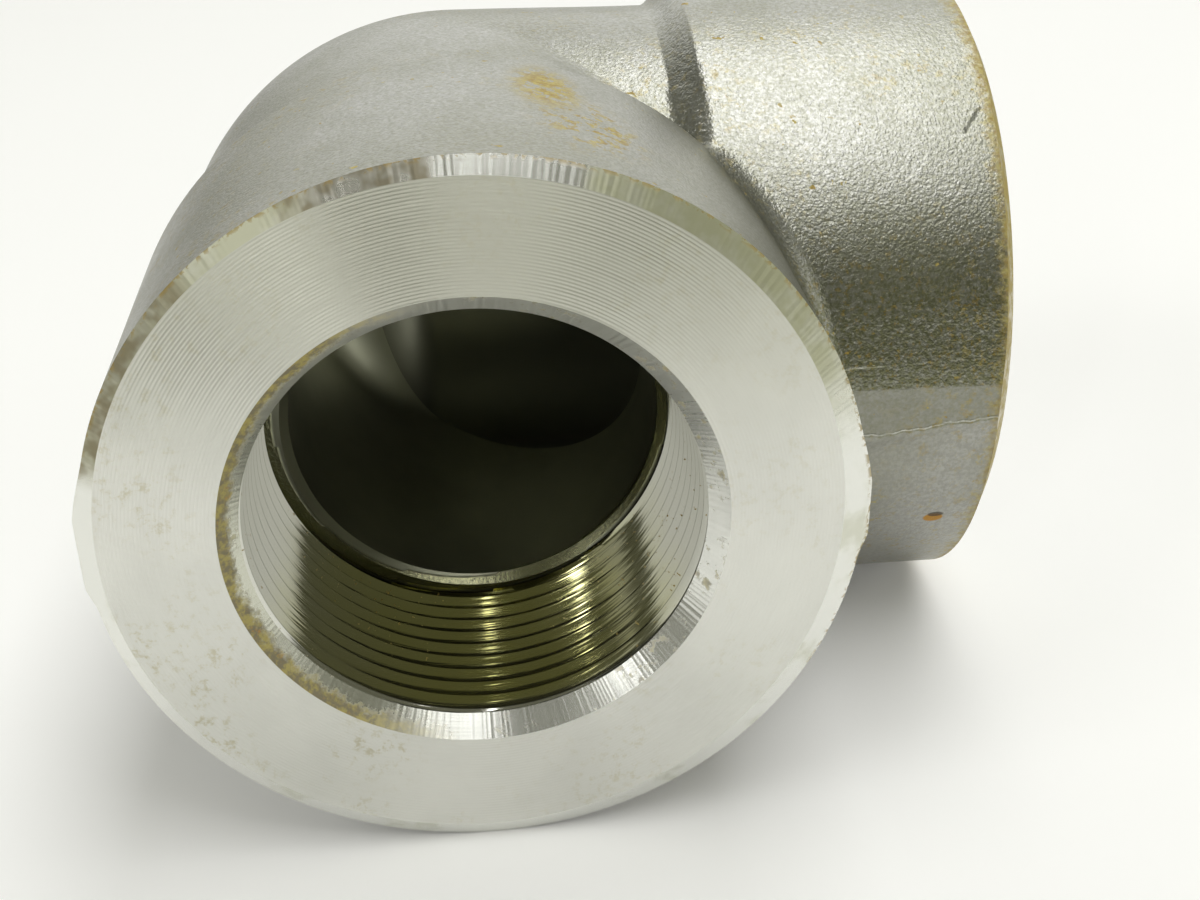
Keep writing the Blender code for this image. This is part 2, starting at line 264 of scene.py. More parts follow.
def skin_field(sizes, points):
    """Signed distance, roughly, from the forged skin with its land and its slight waviness.

    The land is the forging's plan outline moved outwards. Between its two sloping edges the
    field is the land's. Over the upper edge it goes back to the body's along a parabola, and
    under the lower one by a soft step. The waviness is a sum of long sines that only ever
    takes metal away.
    """
    body = forging_field(sizes, points)
    x, y, z = (points / MM).T
    waves = np.sin(x * 0.21 + y * 0.13 + 1.0) + np.sin(y * 0.19 - z * 0.17 + 2.0)
    waves = waves + np.sin(z * 0.23 + x * 0.11)
    body = body + 0.014 * MM * (3.0 + waves)
    flat = points.copy()
    flat[:, 2] = 0.0
    over, under = land_edges(sizes, points)
    stands = forging_field(sizes, flat) - sizes.land_proud
    above = np.clip(1.0 - over / sizes.land_soft_top, 0.0, 1.0) ** 2
    window = above * smooth(1.0 - under / sizes.land_soft_bottom)
    return body + (np.minimum(stands, body) - body) * window


def halve(count, near, far, times, too_near):
    """Values between near and far, one for each of a count, at which too_near stops being true."""
    near = np.full(count, near)
    far = np.full(count, far)
    for _ in range(times):
        middle = (near + far) / 2.0
        short = too_near(middle)
        near = np.where(short, middle, near)
        far = np.where(short, far, middle)
    return far


def skin_points(sizes, directions):
    """Points of the skin in given directions from the forging's centre, found by halving."""
    def inside(reach):
        return skin_field(sizes, directions * reach[:, None]) < 0.0

    return directions * halve(len(directions), 20.0 * MM, 150.0 * MM, 34, inside)[:, None]


def direction(around, outward, arm):
    """Unit directions at an angle round an arm's axis and an angle away from its mouth."""
    aside = np.sin(outward)
    a = np.stack((np.cos(around) * aside, -np.cos(outward), np.sin(around) * aside), axis=-1)
    return a if arm == "a" else swap_arms(a)


def swap_arms(points):
    """Mirror image in the upright plane through the bend, which turns one arm into the other."""
    return np.stack((-points[..., 1], -points[..., 0], points[..., 2]), axis=-1)


def angles_round():
    """Angles round an arm, close together where the parting land's edges run."""
    inner = np.radians(np.arange(-6.6, 8.6, 0.3))
    outer = np.radians(np.arange(172.6, 186.4, 0.3))
    upper = np.linspace(inner[-1], outer[0], 128)[1:-1]
    lower = np.linspace(outer[-1], inner[0] + FULL_TURN, 128)[1:-1]
    return np.concatenate((inner, upper, outer, lower))


def chamfer_gap(sizes, points, arm):
    """Height of points over the end chamfer's cone, along the arm, negative outside."""
    local = swap_arms(points) if arm == "b" else points
    x = local[:, 0] + sizes.shift_to_crotch
    y = local[:, 1] - sizes.shift_to_crotch
    z = local[:, 2] - sizes.shift_down
    slope = sizes.end_chamfer_depth / (CHAMFER_RADIUS - sizes.face_radius)
    return y + sizes.centre_to_end - (np.hypot(x, z) - sizes.face_radius) * slope


def first_angles(sizes, around, arm):
    """Angle away from the mouth at which the skin meets the end chamfer, found by halving."""
    def cut_off(outward):
        return chamfer_gap(sizes, skin_points(sizes, direction(around, outward, arm)), arm) < 0.0

    return halve(len(around), math.radians(20.0), math.radians(44.0), 30, cut_off)


def mitre_angles(around):
    """Angle away from the mouth at which the plane between the arms is met."""
    across = np.cos(around)
    steep = np.arctan2(1.0, np.abs(across))
    return np.where(across > 0.0, steep, math.pi - steep)


def skin_half(sizes, around, arm):
    """Grid of skin points of one arm, from its end chamfer to the plane between the arms.

    Columns are shared out between band, step and neck, and closer where the plane comes early.
    """
    first = first_angles(sizes, around, arm)
    last = mitre_angles(around)
    span = last - first
    step_in = np.minimum(math.radians(53.4), first + 0.62 * span)
    step_out = np.minimum(math.radians(57.4), first + 0.80 * span)
    parts = []
    for start, stop, count in ((first, step_in, 34), (step_in, step_out, 28), (step_out, last, 65)):
        share = np.linspace(0.0, 1.0, count + 1)[:-1]
        parts.append(start[:, None] + (stop - start)[:, None] * share[None, :])
    outward = np.concatenate(parts + [last[:, None]], axis=1)
    directions = direction(np.broadcast_to(around[:, None], outward.shape), outward, arm)
    return skin_points(sizes, directions.reshape(-1, 3)).reshape(outward.shape + (3,))


# Meshes from grids.

def strips(upper, lower):
    """Quads between rows of vertex numbers and the rows next to them."""
    corners = (upper[..., :-1], upper[..., 1:], lower[..., 1:], lower[..., :-1])
    return np.stack(corners, axis=-1).reshape(-1, 4)


def quads(index, flip=False):
    """Quads of a grid of vertex numbers whose last row meets its first."""
    faces = strips(index, np.roll(index, -1, axis=0))
    return faces[:, ::-1] if flip else faces


def mesh_of(name, points, faces):
    """Make a mesh of quads from whole arrays."""
    mesh = bpy.data.meshes.new(name)
    mesh.vertices.add(len(points))
    mesh.vertices.foreach_set("co", np.ascontiguousarray(points, np.float32).ravel())
    mesh.loops.add(faces.size)
    mesh.loops.foreach_set("vertex_index", np.ascontiguousarray(faces, np.int32).ravel())
    mesh.polygons.add(len(faces))
    mesh.polygons.foreach_set("loop_start", np.arange(0, faces.size, 4, dtype=np.int32))
    mesh.update(calc_edges=True)
    mesh.validate()
    return mesh


def values_on_points(mesh, name, values):
    """Store one number for each vertex, for the materials to read."""
    layer = mesh.attributes.new(name, "FLOAT", "POINT")
    layer.data.foreach_set("value", np.ascontiguousarray(values, np.float32))


def grid_uv(mesh, across, along):
    """Give each vertex's two numbers to the corners as a UV map, mended where it wraps round."""
    corner = np.zeros(len(mesh.loops), np.int32)
    mesh.loops.foreach_get("vertex_index", corner)
    uv = np.stack((across[corner], along[corner]), axis=1).reshape(-1, 4, 2)
    wraps = (uv[:, :, 0].max(axis=1) - uv[:, :, 0].min(axis=1)) > 0.5
    low = wraps[:, None] & (uv[:, :, 0] < 0.5)
    uv[:, :, 0] = np.where(low, uv[:, :, 0] + 1.0, uv[:, :, 0])
    layer = mesh.uv_layers.new(name="turned")
    layer.uv.foreach_set("vector", np.ascontiguousarray(uv, np.float32).ravel())


def weld(mesh):
    """Join the points that fell together and drop loose ones."""
    shape = bmesh.new()
    shape.from_mesh(mesh)
    bmesh.ops.remove_doubles(shape, verts=shape.verts, dist=0.0005 * MM)
    bmesh.ops.delete(shape, geom=[vert for vert in shape.verts if not vert.link_faces], context="VERTS")
    shape.to_mesh(mesh)
    shape.free()


def link(name, data):
    """Put a mesh, a lamp or a camera in the scene, in place of any that has its name."""
    old = bpy.data.objects.get(name)
    if old is not None:
        bpy.data.objects.remove(old, do_unlink=True)
    thing = bpy.data.objects.new(name, data)
    bpy.context.scene.collection.objects.link(thing)
    return thing


def add_piece(name, mesh, material, sharp=None):
    """Put a finished mesh in the scene as a piece of the elbow, with edges over an angle kept sharp."""
    mesh.materials.append(material)
    mesh.shade_smooth()
    if sharp is not None:
        mesh.set_sharp_from_angle(angle=math.radians(sharp))
    piece = link(name, mesh)
    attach(piece, BODY)
    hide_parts(NODE)


def in_arm(sizes, radius, turn, depth, arm):
    """Points at a radius and an angle round a socket's axis and a depth from its end face."""
    machined, _ = centres(sizes)
    radius, turn, depth = np.broadcast_arrays(radius, turn, depth)
    a = np.stack((radius * np.cos(turn), depth - sizes.centre_to_end, radius * np.sin(turn)), axis=-1)
    return (a if arm == "a" else swap_arms(a)) + machined


def socket_angles(sizes, arm):
    """Angles round a socket's axis, radii and depths of the points where the skin meets its chamfer."""
    machined, forged = centres(sizes)
    around = angles_round()
    points = skin_points(sizes, direction(around, first_angles(sizes, around, arm), arm)) + forged - machined
    local = swap_arms(points) if arm == "b" else points
    turn = np.arctan2(local[:, 2], local[:, 0])
    return turn, np.hypot(local[:, 0], local[:, 2]), local[:, 1] + sizes.centre_to_end


def rising_turns(sizes, arm):
    """The same angles in rising order, from nought to a full turn."""
    return np.sort(socket_angles(sizes, arm)[0] % FULL_TURN)


def path_length(steps):
    """Length of the path to each column, from the steps between the columns."""
    return np.concatenate((np.zeros((len(steps), 1)), np.cumsum(steps, axis=1)), axis=1).ravel()


def grid_mesh(name, points, flip):
    """Mesh of a grid of points whose last row meets its first."""
    index = np.arange(points[..., 0].size).reshape(points.shape[:2])
    return mesh_of(name, points.reshape(-1, 3), quads(index, flip))


def turned_mesh(name, sizes, radius, turn, depth, arm):
    """Mesh of a surface round a socket's axis, with its turn and its path's length as a UV map."""
    points = in_arm(sizes, radius, turn, depth, arm)
    mesh = grid_mesh(name, points, flip=arm == "b")
    radius, turn, depth = (np.broadcast_to(values, points.shape[:2]) for values in (radius, turn, depth))
    grid_uv(mesh, turn.ravel() / FULL_TURN % 1.0, path_length(np.hypot(np.diff(radius), np.diff(depth))))
    mesh.flip_normals()
    return mesh


def crest(sizes, depth):
    """Radius of the thread's crests at a depth, on a taper of one in thirty-two."""
    return sizes.crest_radius - depth / 32.0


def thread_grid(sizes, turn, arm):
    """Depths and radii of the thread, row by row along its helix.

    A row keeps its place in the 60 degree groove and gets deeper clockwise, seen from either
    mouth. The groove fades in behind the mouth chamfer, and rows end at the shoulder.
    """
    pitch = sizes.thread_pitch
    slope = math.tan(math.radians(30.0))
    crest_half = 0.04 * MM
    flat = pitch / 2.0 - crest_half - sizes.thread_height * slope
    edge = flat + sizes.thread_height * slope
    places = np.concatenate((np.linspace(-edge, -flat, 6), np.linspace(flat, edge, 6)))
    turns = int(math.ceil(sizes.socket_depth / pitch)) + 2
    place = np.tile(places, turns)
    row_depth = (np.repeat(np.arange(turns), len(places)) - 0.5) * pitch + place
    start = sizes.mouth_chamfer_depth
    lead = turn[:, None] / FULL_TURN % 1.0
    if arm == "b":
        lead = 1.0 - lead
    depth = np.clip(row_depth[None, :] + THREAD_START - lead * pitch, start, sizes.socket_depth)
    groove = sizes.thread_height - np.clip((np.abs(place) - flat) / slope, 0.0, sizes.thread_height)
    fade_in = 0.7 * MM
    radius = crest(sizes, depth) + groove[None, :] * smooth((depth - start) / fade_in)
    return depth, radius, groove / sizes.thread_height, len(places)


def thread_faces(sizes, depth, pitch_rows, arm):
    """Quads of a thread, without the flat ones before its start and past its end.

    At the seam a row meets the one that is a whole pitch further along.
    """
    index = np.arange(depth.size).reshape(depth.shape)
    last, first = index[-1, pitch_rows:], index[0, :-pitch_rows]
    if arm == "b":
        last, first = index[-1, :-pitch_rows], index[0, pitch_rows:]
    faces = np.concatenate((strips(index[:-1], index[1:]), strips(last, first)))
    corner = depth.ravel()[faces]
    at_start = (corner <= sizes.mouth_chamfer_depth).all(axis=1)
    at_end = (corner >= sizes.socket_depth).all(axis=1)
    faces = faces[~(at_start | at_end)]
    return faces[:, ::-1] if arm == "a" else faces


def end_surfaces(sizes, arm):
    """Angles round one end, and name, radii and depths of its chamfer, face and mouth chamfer."""
    turn, edge, edge_depth = (values[:, None] for values in socket_angles(sizes, arm))
    share = np.linspace(0.0, 1.0, 7)[None, :]
    bottom = sizes.mouth_chamfer_depth
    mouth = np.linspace(sizes.mouth_radius, crest(sizes, bottom), 9)[None, :]
    return turn, (
        ("end_chamfer_", edge + (sizes.face_radius - edge) * share, edge_depth * (1.0 - share)),
        ("end_face_", np.linspace(sizes.face_radius, sizes.mouth_radius, 13)[None, :], np.zeros((1, 13))),
        ("mouth_chamfer_", mouth, np.linspace(0.0, bottom, 9)[None, :]))


def bore_profile(sizes, path):
    """Radius and place along the axis of a bore at a path length from its lip.

    The wall is straight to past the crossing, and then a quarter of an ellipse closes it.
    """
    wall_start = sizes.socket_depth + sizes.lip_chamfer - sizes.centre_to_end
    wall = sizes.bore_past_centre - wall_start
    quarter_circle = 0.785
    end_path = sizes.bore_radius * quarter_circle + sizes.bore_end_length * quarter_circle
    turn = np.clip((path - wall) / end_path, 0.0, 1.0) * math.pi / 2.0
    radius = sizes.bore_radius * np.cos(turn)
    rounded = sizes.bore_past_centre + sizes.bore_end_length * np.sin(turn)
    return radius, np.where(path < wall, wall_start + path, rounded)


def bore_grid(sizes, turn, arm):
    """Points of a bore: rows of its shoulder, its lip, and its wall up to the plane between the bores.

    The shoulder starts at the thread's last circle, on the machined axis. The lip and the wall
    are on the forging's own axis.
    """
    depth, radius, _, _ = thread_grid(sizes, turn, arm)
    last = np.argmax(depth >= sizes.socket_depth, axis=1)[:, None]
    rim = np.take_along_axis(radius, last, axis=1)
    x = np.cos(turn)[:, None]
    z = np.sin(turn)[:, None]

    def before_plane(path):
        radius, place = bore_profile(sizes, path)
        return radius * x[:, 0] + place + sizes.shift_to_crotch < 0.0

    reach = halve(len(turn), 0.0, 100.0 * MM, 40, before_plane)[:, None]
    wall, wall_place = bore_profile(sizes, reach * np.linspace(0.0, 1.0, 90)[None, :])
    start = sizes.socket_depth - sizes.centre_to_end
    step = np.linspace(0.0, 1.0, 5)[None, :-1]
    lip = sizes.bore_radius + sizes.lip_chamfer - sizes.lip_chamfer * step
    lip_place = np.broadcast_to(start + sizes.lip_chamfer * step, (len(turn), step.size))
    radius = np.concatenate((np.broadcast_to(lip, lip_place.shape), wall), axis=1)
    place = np.concatenate((lip_place, wall_place), axis=1)
    forged = np.stack((radius * x, place, radius * z), axis=-1)
    forged = forged + np.array((sizes.shift_to_crotch, 0.0, -sizes.shift_down))
    rim = np.stack((rim * x, np.full_like(rim, start), rim * z), axis=-1)
    return np.concatenate((rim, (rim + forged[:, :1]) / 2.0, forged), axis=1)


# Nodes and materials.

class Maker:
    """Builds one node material: each call adds a node and gives its output."""

    def __init__(self, name):
        self.material = bpy.data.materials.get(name) or bpy.data.materials.new(name)
        self.material.use_nodes = True
        self.tree = self.material.node_tree
        self.tree.nodes.clear()
        self.shader = self.tree.nodes.new("ShaderNodeBsdfPrincipled")
        self.tone = None
        output = self.tree.nodes.new("ShaderNodeOutputMaterial")
        self.tree.links.new(self.shader.outputs["BSDF"], output.inputs["Surface"])

    def feed(self, socket, value):
        """Link an output to a socket, or set the socket's own value."""
        if isinstance(value, bpy.types.NodeSocket):
            self.tree.links.new(value, socket)
        elif value is not None:
            socket.default_value = value

    def node(self, kind, settings=(), **inputs):
        """Add a node, set its properties and feed its inputs."""
        node = self.tree.nodes.new("ShaderNode" + kind)
        for key, value in dict(settings).items():
            setattr(node, key, value)
        for key, value in inputs.items():
            self.feed(node.inputs[key.replace("_", " ")], value)
        return node

    def place(self, stretch=None):
        """Object coordinates, or the UV map stretched in X and Y."""
        coordinates = self.node("TexCoord").outputs
        if stretch is None:
            return coordinates["Object"]
        return self.node("Mapping", Vector=coordinates["UV"], Scale=(*stretch, 1.0)).outputs["Vector"]

    def noise(self, scale, detail=4.0, rough=0.55, stretch=None):
        """Noise of a scale in cycles for each metre, on the UV map if a stretch is given."""
        return self.node("TexNoise", Vector=self.place(stretch), Scale=scale, Detail=detail,
                         Roughness=rough).outputs["Fac"]

    def cells(self, scale):
        """Distance from the middles of cells, of a scale in cells for each metre."""
        return self.node("TexVoronoi", Vector=self.place(), Scale=scale).outputs["Distance"]

    def ramp(self, value, low, high, start=0.0, stop=1.0):
        """Map a range of a value to another, softly, and hold it outside."""
        node = self.node("MapRange", {"interpolation_type": "SMOOTHSTEP"}, Value=value)
        for key, limit in (("From Min", low), ("From Max", high), ("To Min", start), ("To Max", stop)):
            self.feed(node.inputs[key], limit)
        return node.outputs["Result"]

    def fade(self, value, low, high):
        """One up to a value and nought from another on, softly."""
        return self.ramp(value, low, high, 1.0, 0.0)

    def band(self, value, low, high, soft):
        """One between two limits and nought a little outside them."""
        rise = self.ramp(value, low - soft, low)
        return self.times(rise, self.fade(value, high, high + soft))

    def maths(self, operation, first, second=None):
        """A Math node on numbers or outputs."""
        node = self.node("Math", {"operation": operation})
        self.feed(node.inputs[0], first)
        self.feed(node.inputs[1], second)
        return node.outputs["Value"]

    def times(self, first, second):
        """The product."""
        return self.maths("MULTIPLY", first, second)

    def plus(self, first, second):
        """The sum."""
        return self.maths("ADD", first, second)

    def minus(self, first, second):
        """The difference."""
        return self.maths("SUBTRACT", first, second)

    def most(self, first, second):
        """The larger one."""
        return self.maths("MAXIMUM", first, second)

    def size(self, value):
        """A number without its sign."""
        return self.maths("ABSOLUTE", value)

    def vector(self, operation, first, second=None, output="Vector"):
        """A Vector Math node on vectors or outputs."""
        node = self.node("VectorMath", {"operation": operation})
        self.feed(node.inputs[0], first)
        self.feed(node.inputs[1], second)
        return node.outputs[output]

    def mix(self, amount, first, second):
        """Mix two colours."""
        node = self.node("Mix", {"data_type": "RGBA"})
        self.feed(node.inputs[0], amount)
        self.feed(node.inputs[6], first if isinstance(first, bpy.types.NodeSocket) else (*first, 1.0))
        self.feed(node.inputs[7], second if isinstance(second, bpy.types.NodeSocket) else (*second, 1.0))
        return node.outputs[2]

    def coat(self, amount, over):
        """Lay a colour over the tone so far, by an amount."""
        self.tone = self.mix(amount, self.tone, over)

    def axis(self, letter):
        """One object coordinate, in metres."""
        return self.node("SeparateXYZ", Vector=self.place()).outputs[letter]

    def turned(self, letter):
        """X of the UV map is the share of a full turn, and Y the path's length or a thread's depth."""
        return self.node("SeparateXYZ", Vector=self.place((1.0, 1.0))).outputs[letter]

    def near(self, place, reach, squeeze):
        """One at a place and nought at a reach from it, with each axis weighed by the squeeze."""
        apart = self.vector("SUBTRACT", self.place(), tuple(place))
        distance = self.vector("LENGTH", self.vector("MULTIPLY", apart, squeeze), output="Value")
        return self.fade(distance, 0.25 * reach, reach)

    def groove(self, place, way, width, reach):
        """One on a short straight line through a place, and nought at a width from it or at its ends."""
        apart = self.vector("SUBTRACT", self.place(), tuple(place))
        along = self.vector("DOT_PRODUCT", apart, way, output="Value")
        aside = self.vector("LENGTH", self.vector("CROSS_PRODUCT", apart, way), output="Value")
        ends = self.fade(self.size(along), 0.6 * reach, reach)
        return self.times(ends, self.fade(aside, 0.0, width))

    def attribute(self, name):
        """A number stored on the mesh's points."""
        return self.node("Attribute", {"attribute_name": name}).outputs["Fac"]

    def bump(self, height, depth, strength=1.0):
        """Bump of a height field that is so many metres deep."""
        return self.node("Bump", Height=height, Distance=depth, Strength=strength).outputs["Normal"]

    def finish(self, roughness, metallic, normal, **others):
        """Feed the shader's sockets, its base colour with the tone, and give the material."""
        others.update(Base_Color=self.tone, Roughness=roughness, Metallic=metallic, Normal=normal)
        for key, value in others.items():
            socket = self.shader.inputs[key.replace("_", " ")]
            if socket.type == "RGBA" and not isinstance(value, bpy.types.NodeSocket):
                value = (*value, 1.0)
            self.feed(socket, value)
        return self.material


def shade(tone, share):
    """A colour at a share of its brightness."""
    return tuple(share * c for c in tone)


def skin_bumps(m, smoother):
    """Height of the blasted skin: two sizes of pebbles and a fine noise, half as high where smoother."""
    bumps = m.plus(m.times(m.cells(2100.0), 0.65), m.times(m.cells(3900.0), 0.5))
    bumps = m.plus(bumps, m.times(m.noise(2600.0, 4.0, 0.7), 0.45))
    return m.times(bumps, m.ramp(smoother, 0.0, 1.0, 1.0, 0.5))


def edges_and_highlight(m, under):
    """The thin flash line, which is faint towards arm B's end, and the broken burr under the land: a bump,
    and a painted highlight where bright steel colour is laid over them.
    """
    line = m.fade(m.size(m.attribute("over_flash")), 0.0, 0.0002)
    line = m.times(line, m.ramp(m.axis("X"), 0.0325, 0.0345, 1.0, 0.12))
    burr = m.fade(m.size(m.plus(under, 0.0001)), 0.0, 0.0002)
    burr = m.times(burr, m.ramp(m.noise(900.0, 3.0), 0.38, 0.55, 0.25, 1.0))
    return m.most(line, burr)


def skin_rust(m, finish):
    """Where rust lies on the skin: the patch, its trail, a broken haze, specks and arm B's rim."""
    crumbs = m.ramp(m.noise(750.0, 4.0, 0.75), 0.41, 0.50)
    patch = m.times(m.near(finish.rust_place, 0.0048, (1.0, 0.5, 1.0)), crumbs)
    sparse = m.ramp(m.noise(620.0, 4.0, 0.75), 0.50, 0.57)
    trail = m.times(m.near(finish.rust_trail_place, 0.0080, (1.1, 0.7, 1.0)), sparse)
    haze = m.times(m.ramp(m.noise(820.0, 4.0, 0.75), 0.52, 0.66), m.ramp(m.noise(40.0, 3.0), 0.46, 0.64))
    specks = m.times(m.ramp(m.noise(850.0, 2.0), 0.68, 0.73), m.ramp(m.noise(75.0, 2.0), 0.45, 0.58))
    rim = m.ramp(m.plus(m.axis("X"), m.times(m.noise(800.0, 4.0, 0.75), 0.0060)), 0.0485, 0.0512)
    rust = m.most(m.most(patch, trail), m.most(specks, m.times(haze, 0.5)))
    return m.most(rust, m.times(rim, 0.9))


def lay_side_dust_and_shade(m, finish, parting):
    """Lay dark olive dust and golden specks on arm B's side, and spare the parting. The dark olive is partly
    painted shade on that side.
    """
    bare = m.minus(1.0, m.times(parting, 0.85))
    dust_and_shade_zone = m.times(m.near(finish.dust_and_shade_place, 0.023, (0.55, 1.0, 1.0)), bare)
    uneven = m.ramp(m.noise(1900.0, 3.0, 0.6), 0.35, 0.62, 0.25, 0.75)
    # Painted shade, partly dust: the dark olive darkens arm B's side around the place.
    m.coat(m.times(dust_and_shade_zone, uneven), finish.side_dust_and_shade)
    golden = m.times(dust_and_shade_zone, m.ramp(m.noise(1300.0, 4.0, 0.7), 0.55, 0.65, 0.0, 0.5))
    m.coat(golden, finish.rust)


def forged_skin_material(finish):
    """Shot-blasted forging: pebbled bump, patchy tone, painted shade in the hollows, olive dust, dust and
    painted shade on arm B's side, painted highlight on the flash line and burr, rust and a smoother parting.
    """
    m = Maker("forged_skin")
    over, under = m.attribute("over_land"), m.attribute("under_land")
    on_land = m.fade(m.most(over, under), -0.0001, 0.0002)
    below = m.ramp(under, 0.0, 0.0004)
    smoother = m.most(below, m.times(on_land, 0.4))
    bumps = skin_bumps(m, smoother)
    edges = edges_and_highlight(m, under)
    gouge = m.groove(finish.gouge_place, (0.61, 0.59, 0.52), 0.0006, 0.0023)
    height = m.minus(m.minus(m.times(edges, 0.8), bumps), m.times(gouge, 1.8))

    broad = m.noise(55.0, 3.0)
    m.tone = m.mix(m.ramp(broad, 0.35, 0.65), finish.forged, finish.forged_dark)
    mottle = m.ramp(m.noise(1900.0, 3.0, 0.65), 0.38, 0.62, 0.0, 0.42)
    # Painted shade: the darker forged colour goes into the pebbles' hollows, mixed with random mottling.
    hollow_shade = m.times(m.ramp(bumps, 0.80, 1.15, 0.0, 0.35), m.ramp(smoother, 0.0, 1.0, 1.0, 0.4))
    m.coat(m.most(hollow_shade, mottle), shade(finish.forged, 0.55))
    m.coat(m.most(m.times(below, 0.25), m.times(on_land, 0.7)), finish.parting)
    # Painted highlight: bright steel colour along the flash line and the burr.
    m.coat(m.times(edges, 0.8), finish.bright)
    olive = m.ramp(m.noise(2600.0, 3.0, 0.6), 0.35, 0.65, 0.08, 0.45)
    olive = m.times(olive, m.ramp(smoother, 0.0, 1.0, 1.0, 0.3))
    m.coat(olive, finish.dust)
    lay_side_dust_and_shade(m, finish, m.most(on_land, below))

    rust = skin_rust(m, finish)
    rusty = m.mix(m.ramp(m.noise(1500.0, 3.0), 0.35, 0.65), finish.rust, finish.rust_light)
    m.coat(m.times(rust, 0.95), rusty)
    chip = m.ramp(m.near(finish.chip_place, 0.0012, (0.7, 1.0, 1.0)), 0.25, 0.55)
    chip_top = [c + d for c, d in zip(finish.chip_place, (0.0002, 0.0, 0.0007))]
    chip_shade = m.ramp(m.near(chip_top, 0.0009, (0.6, 1.0, 1.3)), 0.2, 0.6)
    m.coat(chip, finish.rust_orange)
    m.coat(m.times(chip_shade, 0.8), finish.chip_shade)
    dull = m.most(m.most(rust, chip), m.times(olive, 0.55))
    roughness = m.plus(m.ramp(broad, 0.3, 0.7, 0.27, 0.33), m.times(dull, 0.3))
    metallic = m.ramp(dull, 0.0, 1.0, 0.95, 0.2)
    return m.finish(roughness, metallic, m.bump(height, 0.000055))


def turned_face_material(finish):
    """Turned face: fine rings of tool marks round the axis, faint rust blotches and painted shade towards the
    top.
    """
    m = Maker("turned_face")
    rings = m.maths("SINE", m.times(m.turned("Y"), FULL_TURN / finish.ring_pitch))
    uneven = m.noise(4000.0, 2.0, 0.5, (0.0005, 1.0))
    shallow = m.ramp(m.plus(m.axis("Z"), m.times(m.axis("X"), -0.6)), 0.045, 0.085, 0.35, 1.0)
    ring_height = m.times(m.plus(rings, m.times(uneven, 2.0)), shallow)
    blotch = m.times(m.ramp(m.noise(1000.0, 4.0, 0.75), 0.50, 0.68), m.ramp(m.noise(95.0, 3.0), 0.42, 0.62))
    low_left = m.ramp(m.plus(m.axis("X"), m.axis("Z")), -0.030, 0.040, 1.0, 0.3)
    blotch = m.times(blotch, low_left)
    m.tone = m.mix(m.ramp(m.noise(70.0, 3.0), 0.35, 0.65), finish.turned, shade(finish.turned, 0.93))
    top_shaded = tuple(c * d for c, d in zip(finish.turned, finish.top_shade))
    # Painted shade: the faces are darker and a little yellower towards their top.
    m.coat(m.ramp(m.axis("Z"), 0.040, 0.068), top_shaded)
    m.coat(m.times(blotch, 0.4), finish.rust_light)
    roughness = m.plus(m.ramp(m.noise(160.0, 3.0), 0.3, 0.7, 0.38, 0.42), m.times(blotch, 0.15))
    ring_way = m.node("Tangent", {"direction_type": "UV_MAP", "uv_map": "turned"}).outputs["Tangent"]
    return m.finish(roughness, 0.9, m.bump(ring_height, 0.000022),
                    Anisotropic=0.85, Anisotropic_Rotation=0.25, Tangent=ring_way)


def end_chamfer_material(finish):
    """End chamfer: satin steel with chatter bars, an olive film, brown stains and rust at its edge."""
    m = Maker("end_chamfer")
    turn, along = m.turned("X"), m.turned("Y")
    bars = m.noise(1.0, 0.0, 0.5, (480.0, 20.0))
    broad_bars = m.noise(1.0, 0.0, 0.5, (130.0, 10.0))
    lines = m.noise(4000.0, 1.0, 0.5, (0.002, 1.0))
    height = m.plus(bars, m.plus(m.times(broad_bars, 0.8), m.times(lines, 0.04)))
    stained = m.plus(m.band(turn, 0.262, 0.318, 0.004), m.band(turn, 0.375, 0.455, 0.015))
    upper_right = m.times(m.ramp(turn, 0.020, 0.085), m.fade(turn, 0.196, 0.206))
    upper_left = m.times(m.band(turn, 0.318, 0.45, 0.02), 0.8)
    olive = m.plus(upper_right, upper_left)
    patchy = m.ramp(m.noise(300.0, 3.0, 0.6), 0.35, 0.60, 0.7, 1.0)
    film = m.most(m.times(olive, patchy), m.ramp(m.noise(160.0, 3.0, 0.6), 0.5, 0.7, 0.0, 0.4))
    stain = m.times(m.ramp(m.noise(420.0, 2.0, 0.5), 0.36, 0.58, 0.4, 1.0), stained)
    crumbs = m.times(m.fade(along, 0.0, 0.0006), m.ramp(m.noise(1500.0, 2.0), 0.50, 0.58))
    crumbs_below = m.times(crumbs, m.band(turn, 0.47, 0.90, 0.04))
    crumbs = m.minus(m.times(crumbs, 0.7), m.times(crumbs_below, 0.65))
    far_end = m.ramp(m.noise(520.0, 4.0, 0.75), 0.38, 0.56, 0.5, 0.95)
    far_end = m.times(m.ramp(m.axis("X"), 0.040, 0.047), far_end)
    m.tone = m.mix(film, finish.bright, finish.film)
    m.coat(m.times(stain, 0.85), finish.stain)
    m.coat(crumbs, finish.rust)
    m.coat(far_end, m.mix(m.noise(1300.0, 3.0), finish.rust, finish.rust_light))
    dull = m.plus(m.times(stain, 0.12), m.times(m.most(crumbs, far_end), 0.35))
    roughness = m.plus(m.ramp(film, 0.0, 1.0, 0.22, 0.36), dull)
    metallic = m.minus(m.ramp(film, 0.0, 1.0, 0.9, 0.6), m.times(dull, 1.4))
    return m.finish(roughness, metallic, m.bump(height, 0.00005))


